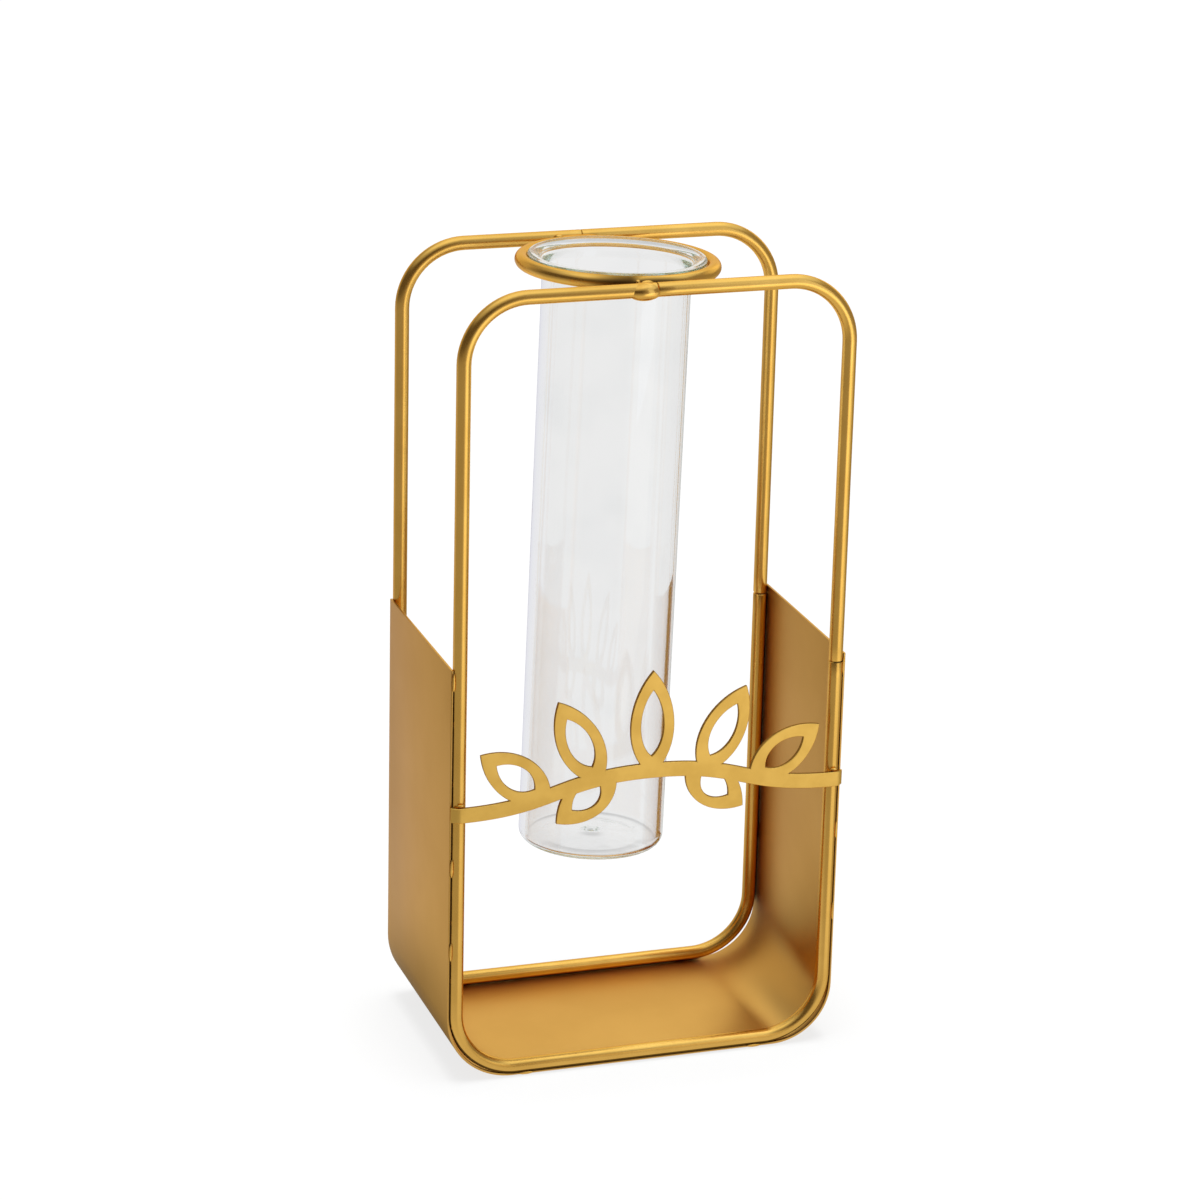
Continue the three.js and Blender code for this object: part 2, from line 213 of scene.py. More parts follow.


# Painted shade in the crevice on a wire where it lies against the sheet or the ring, and in the slit beside
# the right leg
def wireCreviceShade(board, place):
    x, y, z = board.split(place)
    low = board.smooth(z, lowerBendZ * mm, bottomZ * mm)
    outside = outsideFrame(x, z) + low * (seamPlan["lowGain"] * mm)
    deep = board.smooth(outside, seamPlan["wireFrom"] * mm, seamPlan["wireTo"] * mm)
    rear = board.smooth(y, -seamPlan["middleFade"] * mm, seamPlan["middleFade"] * mm)
    deep = deep * (1.0 - low * rear)  # the rear run lies open to the light
    legTop = (leftTop + rightTop) / 2 * mm - x * ((leftTop - rightTop) / (2 * uprightX))
    below = board.smooth(legTop - z, 0.0, seamPlan["fade"] * mm)
    patch = board.smooth(board.noise(place, seamPlan["patch"]), seamPlan["patchFrom"], seamPlan["patchTo"])
    slit = board.smooth(abs(z - legJointZ * mm), seamPlan["jointSpread"] * mm, 0.0)
    filled = seamPlan["filledX"]
    slit = slit * board.smooth(x, (filled - seamPlan["filledFade"]) * mm, filled * mm)
    reach = ((x - ringX * mm) * (x - ringX * mm) + y * y) ** 0.5 - ringRadius * mm
    above = z - topZ * mm
    gap = (reach * reach + above * above) ** 0.5 - wirePlan["radius"] * mm
    beside = board.smooth(gap, seamPlan["besideRing"] * mm, 0.0)
    return (deep * below * patch.highest(low)).highest(slit).highest(beside)


# Painted shade in the crevice on the ring where it lies beside a frame's top wire, with wider painted shade
# on its left front
def ringCreviceShade(board, place):
    x, y, z = board.split(place)
    across, above = abs(y) - frameY * mm, z - topZ * mm
    gap = (across * across + above * above) ** 0.5 - wirePlan["radius"] * mm
    close = board.smooth(gap, seamPlan["ringFrom"] * mm, seamPlan["ringTo"] * mm)
    wide = board.smooth(gap, seamPlan["shadedFrom"] * mm, seamPlan["shadedTo"] * mm)
    wide = wide * board.smooth(x, seamPlan["shadedX"][0] * mm, seamPlan["shadedX"][1] * mm)
    return close.highest(wide * board.smooth(y, 0.0, -seamPlan["middleFade"] * mm))


# Painted shade for the same crevice on the inner face of the sheet, along both of its edges: it stands in
# for the wires' shade and their reflection in the sheet
def sheetCreviceShade(board, place):
    x, y, z = board.split(place)
    facing = board.split(board.add("ShaderNodeNewGeometry", output="Normal"))
    inward = (seamPlan["insideZ"] * mm - z) * facing[2] - x * facing[0]
    inner = board.smooth(inward, 0.0, seamPlan["faceFade"] * mm)
    besideX = abs(x) - bendX * mm
    bent = besideX.lowest(lowerBendZ * mm - z)
    flat = board.smooth(bent, seamPlan["bendFade"] * mm, 0.0)
    return inner * flat * board.smooth(abs(y), seamPlan["sheetFrom"] * mm, seamPlan["sheetTo"] * mm)


# Cut walls of the spray, darker than its face: painted shade on the walls
def sprayWallShade(board, place):
    x = board.split(place)[0]
    facing = board.split(board.add("ShaderNodeNewGeometry", output="Normal"))
    wall = 1.0 - board.smooth(abs(facing[1]), seamPlan["wallFrom"], seamPlan["wallTo"])
    reach = seamPlan["wallReach"]
    return wall * board.smooth(abs(x), (reach + seamPlan["wallFade"]) * mm, reach * mm)


# What the four gold finishes share
goldGrain = dict(cloudDetail=4.0, cloudRoughness=0.55, cloudFrom=0.3, cloudTo=0.7, grainDetail=3.0,
                 grainRoughness=0.6, fleckFrom=0.62, fleckTo=0.78, shadeRoughness=0.2)


def newMaterial(name):
    material = bpy.data.materials.new(name)
    material.use_nodes = True
    return material, Board(material.node_tree)


def makeGold(name, finish, paintedShade=None):
    material, board = newMaterial(name)
    place = board.add("ShaderNodeTexCoord", output="Object")
    cloud = board.noise(place, finish["blotch"], goldGrain["cloudDetail"], goldGrain["cloudRoughness"])
    cloud = board.smooth(cloud, goldGrain["cloudFrom"], goldGrain["cloudTo"])
    grain = board.noise(place, finish["grain"], goldGrain["grainDetail"], goldGrain["grainRoughness"])
    colour = board.blend(cloud, rgba(finish["deep"]), rgba(finish["light"]))
    fleck = board.smooth(grain, goldGrain["fleckFrom"], goldGrain["fleckTo"]) * finish["speck"]
    colour = board.blend(fleck, colour, rgba(finish["deep"]))
    roughness = finish["roughness"] + (0.5 - cloud) * finish["spread"] + (grain - 0.5) * finish["spread"]
    if paintedShade:
        # painted shade: the mask blends the colour toward the finish's painted-shade colour and adds
        # roughness there
        dark = paintedShade(board, place)
        colour = board.blend(dark, colour, rgba(finish["paintedShade"]))
        roughness = roughness + dark * goldGrain["shadeRoughness"]
    bump = board.add("ShaderNodeBump", None,
                     {"Strength": 1.0, "Distance": finish["grainDepth"] * mm, "Height": grain})
    metal = board.add("ShaderNodeBsdfPrincipled", None,
                      {"Base Color": colour, "Metallic": 1.0, "Roughness": roughness, "Normal": bump,
                       "Specular Tint": rgba(finish["edge"])})
    board.add("ShaderNodeOutputMaterial", None, {"Surface": metal})
    return material


# Drawn glass: faint lengthwise ripples, swirls in the foot, a green cast where the glass is deep
glassFinish = dict(tint=(1.0, 1.0, 1.0), haze=(0.972, 0.976, 0.978), ior=1.48, ripple=2.4,
                   rippleDepth=0.012, rippleLength=90, rippleDetail=1.0, smear=14, smearDetail=3.0,
                   smearFrom=0.45, smearTo=0.75, smearRoughness=0.012, swirl=6, swirlDepth=0.1,
                   swirlTop=54.5, swirlFade=1.0, absorb=(0.70, 0.86, 0.80), density=5,
                   shadow=(0.92, 0.93, 0.93))


def makeGlass(name, finish):
    material, board = newMaterial(name)
    place = board.add("ShaderNodeTexCoord", output="Object")
    drawn = board.stretched(place, (1.0, 1.0, finish["ripple"] / finish["rippleLength"]))
    ripple = board.noise(drawn, finish["ripple"], finish["rippleDetail"])
    smear = board.noise(place, finish["smear"], finish["smearDetail"])
    smear = board.smooth(smear, finish["smearFrom"], finish["smearTo"])
    top = finish["swirlTop"]
    foot = board.smooth(board.split(place)[2], top * mm, (top - finish["swirlFade"]) * mm)
    swirl = board.noise(place, finish["swirl"], finish["rippleDetail"]) * foot
    height = ripple * finish["rippleDepth"] + swirl * finish["swirlDepth"]
    bump = board.add("ShaderNodeBump", None, {"Strength": 1.0, "Distance": mm, "Height": height})
    colour = board.blend(smear, rgba(finish["tint"]), rgba(finish["haze"]))
    glass = board.add("ShaderNodeBsdfPrincipled", None, {
        "Base Color": colour, "Roughness": smear * finish["smearRoughness"], "IOR": finish["ior"],
        "Transmission Weight": 1.0, "Normal": bump})
    lampLight = board.add("ShaderNodeBsdfTransparent", None, {"Color": rgba(finish["shadow"])})
    fromLamp = board.add("ShaderNodeLightPath", output="Is Shadow Ray")
    surface = board.either(fromLamp, glass, lampLight)
    inside = board.add("ShaderNodeVolumeAbsorption", None,
                       {"Color": rgba(finish["absorb"]), "Density": finish["density"]})
    board.add("ShaderNodeOutputMaterial", None, {"Surface": surface, "Volume": inside})
    return material


wireGold = makeGold("satinWireGold", goldFinishes["wire"], wireCreviceShade)
ringGold = makeGold("satinRingGold", goldFinishes["wire"], ringCreviceShade)
sheetGold = makeGold("softSheetGold", goldFinishes["sheet"], sheetCreviceShade)
sprayGold = makeGold("cutSprayGold", goldFinishes["spray"], sprayWallShade)
weldGold = makeGold("weldGold", goldFinishes["weld"])
clearGlass = makeGlass("clearDrawnGlass", glassFinish)
print("stage: finishes made")


# Meshes: points in millimetres become a mesh in metres
def meshFrom(name, points, edges, faces, material=None, sharp=None):
    mesh = bpy.data.meshes.new(name)
    mesh.from_pydata([Vector(p) * mm for p in points], edges, faces)
    if material:
        mesh.materials.append(material)
    if sharp:
        mesh.shade_smooth()
        mesh.set_sharp_from_angle(angle=math.radians(sharp))
    mesh.update()
    return mesh


def addObject(name, data):
    piece = bpy.data.objects.new(name, data)
    bpy.context.scene.collection.objects.link(piece)
    return piece


def onBody(piece, body, slot, *nodes):
    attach(piece, body)
    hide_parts(*nodes)


# A piece's mesh as its modifiers leave it
def evaluatedMesh(piece):
    depsgraph = bpy.context.evaluated_depsgraph_get()
    return bpy.data.meshes.new_from_object(piece.evaluated_get(depsgraph), depsgraph=depsgraph)


# Runs a geometry tree on a source mesh and keeps the result as a plain mesh at the origin
def fromNodes(name, source, tree, sizes):
    carrier = addObject(name + "Source", source)
    modifier = carrier.modifiers.new("tree", "NODES")
    modifier.node_group = tree
    inputs = {item.name: item.identifier for item in tree.interface.items_tree if item.in_out == "INPUT"}
    for label, value in sizes.items():
        modifier[inputs[label]] = value
    mesh = evaluatedMesh(carrier)
    mesh.name = name
    bpy.data.objects.remove(carrier)
    return addObject(name, mesh)


def newTree(name, inputs):
    tree = bpy.data.node_groups.new(name, "GeometryNodeTree")
    tree.interface.new_socket("Geometry", in_out="INPUT", socket_type="NodeSocketGeometry")
    for label, kind in inputs.items():
        tree.interface.new_socket(label, in_out="INPUT", socket_type="NodeSocket" + kind)
    tree.interface.new_socket("Geometry", in_out="OUTPUT", socket_type="NodeSocketGeometry")
    board = Board(tree)
    return board, board.add("NodeGroupInput")


def endTree(board, geometry, given):
    solid = board.add("GeometryNodeRealizeInstances", None, {"Geometry": geometry})
    smooth = board.add("GeometryNodeSetShadeSmooth", None, {"Geometry": solid})
    finished = board.add("GeometryNodeSetMaterial", None,
                         {"Geometry": smooth, "Material": given.out("Material")})
    board.add("NodeGroupOutput", None, {0: finished})
    return board.tree


# Bent wire: a round section along a line, very slightly uneven as hand-bent wire is
def makeWireTree():
    board, given = newTree("bentWire", {
        "Wire Radius": "Float", "Sides": "Int", "Waviness": "Float", "Wave Length": "Float",
        "Material": "Material"})
    line = board.add("GeometryNodeMeshToCurve", None, {"Mesh": given.out("Geometry")})
    place = board.add("GeometryNodeInputPosition")
    scale = 1 / given.out("Wave Length")
    wave = board.add("ShaderNodeTexNoise", None,
                     {"Vector": place, "Scale": scale, "Detail": 1.0}, output="Color")
    centred = board.add("ShaderNodeVectorMath", {"operation": "SUBTRACT"}, {0: wave, 1: (0.5, 0.5, 0.5)})
    drift = board.add("ShaderNodeVectorMath", {"operation": "SCALE"},
                      {0: centred, "Scale": given.out("Waviness")})
    line = board.add("GeometryNodeSetPosition", None, {"Geometry": line, "Offset": drift})
    section = board.add("GeometryNodeCurvePrimitiveCircle", None,
                        {"Resolution": given.out("Sides"), "Radius": given.out("Wire Radius")})
    share = board.add("GeometryNodeInputNamedAttribute", {"data_type": "FLOAT"}, {"Name": "endShare"})
    wire = board.add("GeometryNodeCurveToMesh", None,
                     {"Curve": line, "Profile Curve": section, "Scale": share, "Fill Caps": True})
    return endTree(board, wire, given)


# Sheet strip: a flat section along a line
def makeStripTree():
    board, given = newTree("bentStrip", {"Thickness": "Float", "Width": "Float", "Material": "Material"})
    line = board.add("GeometryNodeMeshToCurve", None, {"Mesh": given.out("Geometry")})
    section = board.add("GeometryNodeCurvePrimitiveQuadrilateral", None,
                        {"Width": given.out("Thickness"), "Height": given.out("Width")})
    strip = board.add("GeometryNodeCurveToMesh", None,
                      {"Curve": line, "Profile Curve": section, "Scale": 1.0, "Fill Caps": True})
    return endTree(board, strip, given)


# Small weld beads: one lump on each point, stretched to that point's size and roughened
def makeBeadTree():
    board, given = newTree("weldBeads", {
        "Detail": "Int", "Roughness": "Float", "Lump Size": "Float", "Material": "Material"})
    lump = board.add("GeometryNodeMeshIcoSphere", None,
                     {"Radius": 1.0, "Subdivisions": given.out("Detail")})
    size = board.add("GeometryNodeInputNamedAttribute", {"data_type": "FLOAT_VECTOR"}, {"Name": "halfSize"})
    beads = board.add("GeometryNodeInstanceOnPoints", None,
                      {"Points": given.out("Geometry"), "Instance": lump, "Scale": size})
    beads = board.add("GeometryNodeRealizeInstances", None, {"Geometry": beads})
    place = board.add("GeometryNodeInputPosition")
    rough = board.add("ShaderNodeTexNoise", None,
                      {"Vector": place, "Scale": 1 / given.out("Lump Size"), "Detail": 2.0})
    depth = (rough - 0.5) * given.out("Roughness")
    push = board.add("ShaderNodeVectorMath", {"operation": "SCALE"},
                     {0: board.add("GeometryNodeInputNormal"), "Scale": depth})
    beads = board.add("GeometryNodeSetPosition", None, {"Geometry": beads, "Offset": push})
    return endTree(board, beads, given)


# Points along an arc, angles in radians
def flatArc(centre, radius, start, end, steps):
    turns = [start + (end - start) * i / steps for i in range(steps + 1)]
    return [(centre[0] + radius * math.cos(t), centre[1] + radius * math.sin(t)) for t in turns]


# The same in the XZ plane, angles in quarter turns
def arc(centre, radius, start, end, steps):
    quarter = math.pi / 2
    return [Vector((x, 0, z)) for x, z in flatArc(centre, radius, start * quarter, end * quarter, steps)]


def lineMesh(name, points, closed=False, shares=None):
    count = len(points)
    edges = [(i, (i + 1) % count) for i in range(count if closed else count - 1)]
    mesh = meshFrom(name, points, edges, [])
    attribute = mesh.attributes.new("endShare", "FLOAT", "POINT")
    for i in range(count):
        attribute.data[i].value = shares[i] if shares else 1.0
    return mesh


# Fills a long straight between two points with even steps, both ends included
def straight(first, last, step):
    count = max(1, round((last - first).length / step))
    return [first.lerp(last, i / count) for i in range(count + 1)]


# Wire frames: a long wire round three bends and a corner wire round the fourth, butted at both ends
def wireLine(start, corners, end):
    leaving = (corners[0][0] - start).normalized()
    arriving = (end - corners[-1][-1]).normalized()
    rim = wirePlan["rim"]
    points = [start + leaving * inset for inset, share in rim]
    for corner in corners:
        points = points[:-1] + straight(points[-1], corner[0], wirePlan["step"])[:-1] + corner
    closing = [end - arriving * inset for inset, share in reversed(rim)]
    points = points[:-1] + straight(points[-1], closing[0], wirePlan["step"])[:-1] + closing
    shares = [1.0] * len(points)
    for i, (inset, share) in enumerate(rim):
        shares[i] = shares[-1 - i] = share
    return points, shares


def longLine(jointX, side):
    bend, steps = wirePlan["bend"], wirePlan["bendSteps"]
    corners = [arc((-bendX, upperBendZ), bend, 1, 2, steps), arc((-bendX, lowerBendZ), bend, 2, 3, steps),
               arc((bendX, lowerBendZ), bend, 3, 4, steps)]
    start = Vector((jointX - wirePlan["topGap"][side] / 2, 0, topZ))
    end = Vector((uprightX, 0, legJointZ - wirePlan["legGap"][side] / 2))
    return wireLine(start, corners, end)


def cornerLine(jointX, side):
    corners = [arc((bendX, upperBendZ), wirePlan["bend"], 1, 0, wirePlan["bendSteps"])]
    start = Vector((jointX + wirePlan["topGap"][side] / 2, 0, topZ))
    end = Vector((uprightX, 0, legJointZ + wirePlan["legGap"][side] / 2))
    return wireLine(start, corners, end)


wireTree = makeWireTree()
wireSizes = {"Wire Radius": wirePlan["radius"] * mm, "Sides": wirePlan["sides"],
             "Waviness": wirePlan["waviness"] * mm, "Wave Length": wirePlan["waveLength"] * mm,
             "Material": wireGold}
frameWires = (("LongWire", "_wire_frame", longLine), ("CornerWire", "_corner_wire", cornerLine))
for side, y in frameSides:
    jointX = nodeBox(side + "_corner_wire")[0].x - wirePlan["buttGap"] / 2
    for kind, node, line in frameWires:
        points, shares = line(jointX, side)
        source = lineMesh(side + kind + "Line", [p + Vector((0, y, 0)) for p in points], shares=shares)
        wire = fromNodes(side + kind, source, wireTree, wireSizes)
        onBody(wire, "stand", "gold_wire", side + node)
print("stage: wire frames bent")


# Ring that carries the tube, welded askew
ringPlan = dict(steps=120, lowRight=1.85, lowRear=1.6)
turns = [2 * math.pi * i / ringPlan["steps"] for i in range(ringPlan["steps"])]
askew = Matrix.Rotation(-math.radians(ringPlan["lowRear"]), 4, "X")
askew = askew @ Matrix.Rotation(math.radians(ringPlan["lowRight"]), 4, "Y")
askew = Matrix.Translation((ringX, 0, topZ)) @ askew
ringLine = [askew @ Vector((ringRadius * math.cos(t), ringRadius * math.sin(t), 0)) for t in turns]
ring = fromNodes("tubeRing", lineMesh("ringLine", ringLine, closed=True), wireTree,
                 {**wireSizes, "Material": ringGold})
onBody(ring, "stand", "gold_wire", "tube_ring")
print("stage: ring closed")


# Base band: one strip bent to a U, with its edges broken; it lies against the wires
sheetThickness = bandHigh.x - uprightX - wirePlan["radius"] - bandPlan["contact"]


def bandLine():
    half, steps = sheetThickness / 2, bandPlan["bendSteps"]
    leftBend, rightBend = (bend + half for bend in bandPlan["bends"])
    left = arc((bandLow.x + half + leftBend, half + leftBend), leftBend, 2, 3, steps)
    right = arc((bandHigh.x - half - rightBend, half + rightBend), rightBend, 3, 4, steps)
    return [Vector((bandLow.x + half, 0, leftTop)), *left, *right, Vector((bandHigh.x - half, 0, rightTop))]


band = fromNodes("baseBand", lineMesh("bandLine", bandLine()), makeStripTree(), {
    "Thickness": sheetThickness * mm, "Width": (bandHigh.y - bandLow.y) * mm, "Material": sheetGold})
edgeBreak = band.modifiers.new("edgeBreak", "BEVEL")
edgeBreak.width = bandPlan["edgeBreak"] * mm
edgeBreak.segments = bandPlan["breakSegments"]
edgeBreak.limit_method = "ANGLE"
edgeBreak.angle_limit = math.radians(bandPlan["breakAngle"])
broken = evaluatedMesh(band)
band.modifiers.clear()
band.data = broken
broken.shade_smooth()
broken.set_sharp_from_angle(angle=math.radians(bandPlan["sharpAngle"]))
onBody(band, "stand", "gold_sheet", "base_band")
print("stage: band folded")


# Glass tube, turned from one closed profile and hung square in the ring
tubePlan = dict(diameter=36, wall=1.45, footHeight=51.55, heel=2.5, floor=1.2, well=0.8, puntRadius=12,
                puntHeight=0.8, dimple=0.35, dimpleRadius=2.4, lipBead=0.75, lipUnder=1.2, lipOver=5.0,
                ringPlay=3.4, lipSeat=0.3, seatGap=0.15, loose=(-0.3, -0.3, -0.1), arcSteps=14,
                floorSteps=42, wallSteps=30, turnSteps=144, sharpAngle=60)
bead = tubePlan["lipBead"]
lipCentre = tubePlan["diameter"] / 2 + tubePlan["ringPlay"] + tubePlan["lipSeat"] - bead
seatAcross = ringRadius - lipCentre
seatUp = math.sqrt((wirePlan["radius"] + tubePlan["seatGap"] + bead) ** 2 - seatAcross ** 2)


# The profile in radius and height, from the punt's middle round the outside and back down the inside
def tubeProfile():
    steps, up = tubePlan["arcSteps"], math.pi / 2
    outer = tubePlan["diameter"] / 2
    inner = outer - tubePlan["wall"]
    under, over = tubePlan["lipUnder"], tubePlan["lipOver"]
    underTurn = math.acos(max(0.0, outer + under - lipCentre) / (under + bead))
    underZ = -(under + bead) * math.sin(underTurn)
    overTurn = math.acos(max(0.0, inner + over - lipCentre) / (over - bead))
    overZ = -(over - bead) * math.sin(overTurn)
    footZ = tubePlan["footHeight"] - (topZ + seatUp)
    floorZ = footZ + tubePlan["floor"]
    heel, well = tubePlan["heel"], tubePlan["well"]
    puntBend = (tubePlan["puntRadius"] ** 2 + tubePlan["puntHeight"] ** 2) / (2 * tubePlan["puntHeight"])
    puntTurn = math.asin(tubePlan["puntRadius"] / puntBend)
    punt = flatArc((0, footZ + tubePlan["puntHeight"] - puntBend), puntBend, up, up - puntTurn, steps)
    outside = flatArc((outer - heel, footZ + heel), heel, -up, 0, steps)
    lipUnder = flatArc((outer + under, underZ), under, math.pi, math.pi - underTurn, steps)
    lip = flatArc((lipCentre, 0), bead, -underTurn, math.pi - overTurn, steps)
    lipOver = flatArc((inner + over, overZ), over, math.pi - overTurn, math.pi, steps)
    wellArc = flatArc((inner - well, floorZ + well), well, 0, -up, steps)
    floorEdge = inner - well
    floor = []
    for i in range(1, tubePlan["floorSteps"] + 1):
        r = floorEdge * (1 - i / tubePlan["floorSteps"])
        dip = tubePlan["dimple"] * math.exp(-(r / tubePlan["dimpleRadius"]) ** 2)
        fall = puntBend - math.sqrt(puntBend ** 2 - min(r, tubePlan["puntRadius"]) ** 2)
        floor.append((r, floorZ + tubePlan["puntHeight"] - fall - dip))
    wallOut = [(outer, outside[-1][1] + (underZ - outside[-1][1]) * i / tubePlan["wallSteps"])
               for i in range(1, tubePlan["wallSteps"])]
    wallIn = [(inner, overZ + (wellArc[0][1] - overZ) * i / tubePlan["wallSteps"])
              for i in range(1, tubePlan["wallSteps"])]
    return [*punt, *outside, *wallOut, *lipUnder, *lip[1:], *lipOver[1:], *wallIn, *wellArc, *floor]


# A closed turned mesh whose profile starts and ends on the axis
def turnedMesh(name, profile, steps, place, material):
    points = [place @ Vector((0, 0, profile[0][1])), place @ Vector((0, 0, profile[-1][1]))]
    for radius, height in profile[1:-1]:
        for i in range(steps):
            turn = 2 * math.pi * i / steps
            points.append(place @ Vector((radius * math.cos(turn), radius * math.sin(turn), height)))
    rows = len(profile) - 2
    faces = []
    for i in range(steps):
        j = (i + 1) % steps
        faces.append((0, 2 + j, 2 + i))
        faces.append((1, 2 + (rows - 1) * steps + i, 2 + (rows - 1) * steps + j))
        for row in range(rows - 1):
            low, high = 2 + row * steps, 2 + (row + 1) * steps
            faces.append((low + i, low + j, high + j, high + i))
    return meshFrom(name, points, [], faces, material, sharp=tubePlan["sharpAngle"])


hang = Matrix.Translation(tubePlan["loose"]) @ askew @ Matrix.Translation((0, 0, seatUp))
turned = turnedMesh("glassTube", tubeProfile(), tubePlan["turnSteps"], hang, clearGlass)
tube = addObject("glassTube", turned)
onBody(tube, "tube", "clear_glass", "glass_tube")
print("stage: glass tube turned")


# Leaf spray: stem and pierced leaves cut from one sheet, ends bent back round the uprights
sprayPlan = dict(thickness=1.0, stemWidth=3.8, endHeight=71.2, rise=7.0, leafRim=2.6, tipRim=5.0,
                 leafWidth=11.0, lowBend=0.2, highBend=0.7, reachShare=0.674, sink=1.2, seam=0.1,
                 hookTurn=59.1, edgeBreak=0.13, leastSpread=0.5, leafSteps=36, stemSteps=150, hookSteps=14,
                 tableSteps=400, mergeWithin=1e-5, sharpAngle=30,
                 leaves=((0, 27, 0), (13.5, 24.5, 27), (27, 22, 54), (10, 19, 128)))


def bezier(points, t):
    while len(points) > 1:
        points = [a.lerp(b, t) for a, b in zip(points, points[1:])]
    return points[0]


def stemPoint(t):
    half, rise = uprightX, sprayPlan["rise"]
    side = 1 if t > 0 else -1
    control = [Vector((0, rise)), Vector((side * half / 2, rise)), Vector((side * half / 2, 0)),
               Vector((side * half, 0))]
    return bezier(control, abs(t))


# Points of the stem's centre line, and how far along it from the middle each one lies
def stemTable():
    count = sprayPlan["tableSteps"]
    points = [stemPoint(i / count) for i in range(-count, count + 1)]
    lengths = [0.0]
    for a, b in zip(points, points[1:]):
        lengths.append(lengths[-1] + (b - a).length)
    return points, [s - lengths[-1] / 2 for s in lengths]


def stemAt(table, length):
    points, lengths = table
    i = max(k for k in range(len(lengths) - 1) if lengths[k] <= length or k == 0)
    share = (length - lengths[i]) / (lengths[i + 1] - lengths[i])
    along = (points[i + 1] - points[i]).normalized()
    return points[i].lerp(points[i + 1], share), along


def stemOutline(table):
    end = table[1][-1]
    steps = sprayPlan["stemSteps"]
    upper, lower = [], []
    for i in range(steps + 1):
        point, along = stemAt(table, -end + 2 * end * i / steps)
        across = Vector((-along.y, along.x)) * sprayPlan["stemWidth"] / 2
        upper.append(point + across)
        lower.append(point - across)
    reach = math.radians(sprayPlan["hookTurn"])
    reach *= wirePlan["radius"] + sprayPlan["seam"] + sprayPlan["thickness"] / 2
    count = sprayPlan["hookSteps"]
    tail = [Vector((reach * (i + 1) / count, 0)) for i in range(count)]
    for row in (upper, lower):
        first, last = row[0].copy(), row[-1].copy()
        row[:0] = [first - step for step in reversed(tail)]
        row += [last + step for step in tail]
    return lower + upper[::-1]


def leafOutline(reach, start, end, steps):
    span = end - start
    side = [Vector((0, start)), Vector((reach, start + sprayPlan["lowBend"] * span)),
            Vector((reach, start + sprayPlan["highBend"] * span)), Vector((0, end))]
    right = [bezier(side, i / steps) for i in range(steps)]
    left = [Vector((-p.x, p.y)) for p in (bezier(side, 1 - i / steps) for i in range(steps))]
    return right + left


def sprayOutlines():
    table = stemTable()
    plates, holes = [stemOutline(table)], [None]
    reach = sprayPlan["leafWidth"] * sprayPlan["reachShare"]
    holeReach = reach * (1 - 2 * sprayPlan["leafRim"] / sprayPlan["leafWidth"])
    for x, length, turn in sprayPlan["leaves"]:
        for side in ((1,) if x == 0 else (-1, 1)):
            root, along = stemAt(table, side * x)
            spin = Matrix.Rotation(-side * math.radians(turn), 2)
            steps, rim = sprayPlan["leafSteps"], sprayPlan["tipRim"]
            leaf = leafOutline(reach, 0, length, steps)
            hole = leafOutline(holeReach, rim, length - rim, steps)
            sink = Vector((0, sprayPlan["sink"]))
            plates.append([root + spin @ (p - sink) for p in leaf])
            holes.append([root + spin @ (p - sink) for p in hole])
    return plates, holes


# Cuts the outlines into triangles and keeps those inside a plate and outside that plate's own hole
def sprayTriangles():
    plates, holes = sprayOutlines()
    points, faces, owners = [], [], []
    for number, outlines in enumerate(zip(plates, holes)):
        for kind, outline in zip(("plate", "hole"), outlines):
            if outline:
                faces.append(list(range(len(points), len(points) + len(outline))))
                owners.append((kind, number))
                points += outline
    insideOnly = 1  # the cutter then drops triangles outside every outline
    cut = delaunay_2d_cdt(points, [], faces, insideOnly, sprayPlan["mergeWithin"])
    places, triangles, insides = cut[0], cut[2], cut[5]
    kept = []
    for triangle, inside in zip(triangles, insides):
        marks = {owners[k] for k in inside}
        solid = [n for kind, n in marks if kind == "plate" and ("hole", n) not in marks]
        if solid:
            a, b, c = (places[k] for k in triangle)
            forward = (b - a).cross(c - a) > 0
            kept.append(tuple(triangle) if forward else tuple(reversed(triangle)))
    return [Vector(p) for p in places], kept


# Depth from the sheet's back: flat across the front, turned round the upright past it
def sprayPlace(point, depth):
    inside = wirePlan["radius"] + sprayPlan["seam"]
    past = abs(point.x) - uprightX
    height = sprayPlan["endHeight"] + point.y
    if past <= 0:
        return Vector((point.x, -frameY - inside - depth, height))
    turn = past / (inside + sprayPlan["thickness"] / 2)
    radius = inside + depth
    reach = math.copysign(uprightX + radius * math.sin(turn), point.x)
    return Vector((reach, -frameY - radius * math.cos(turn), height))


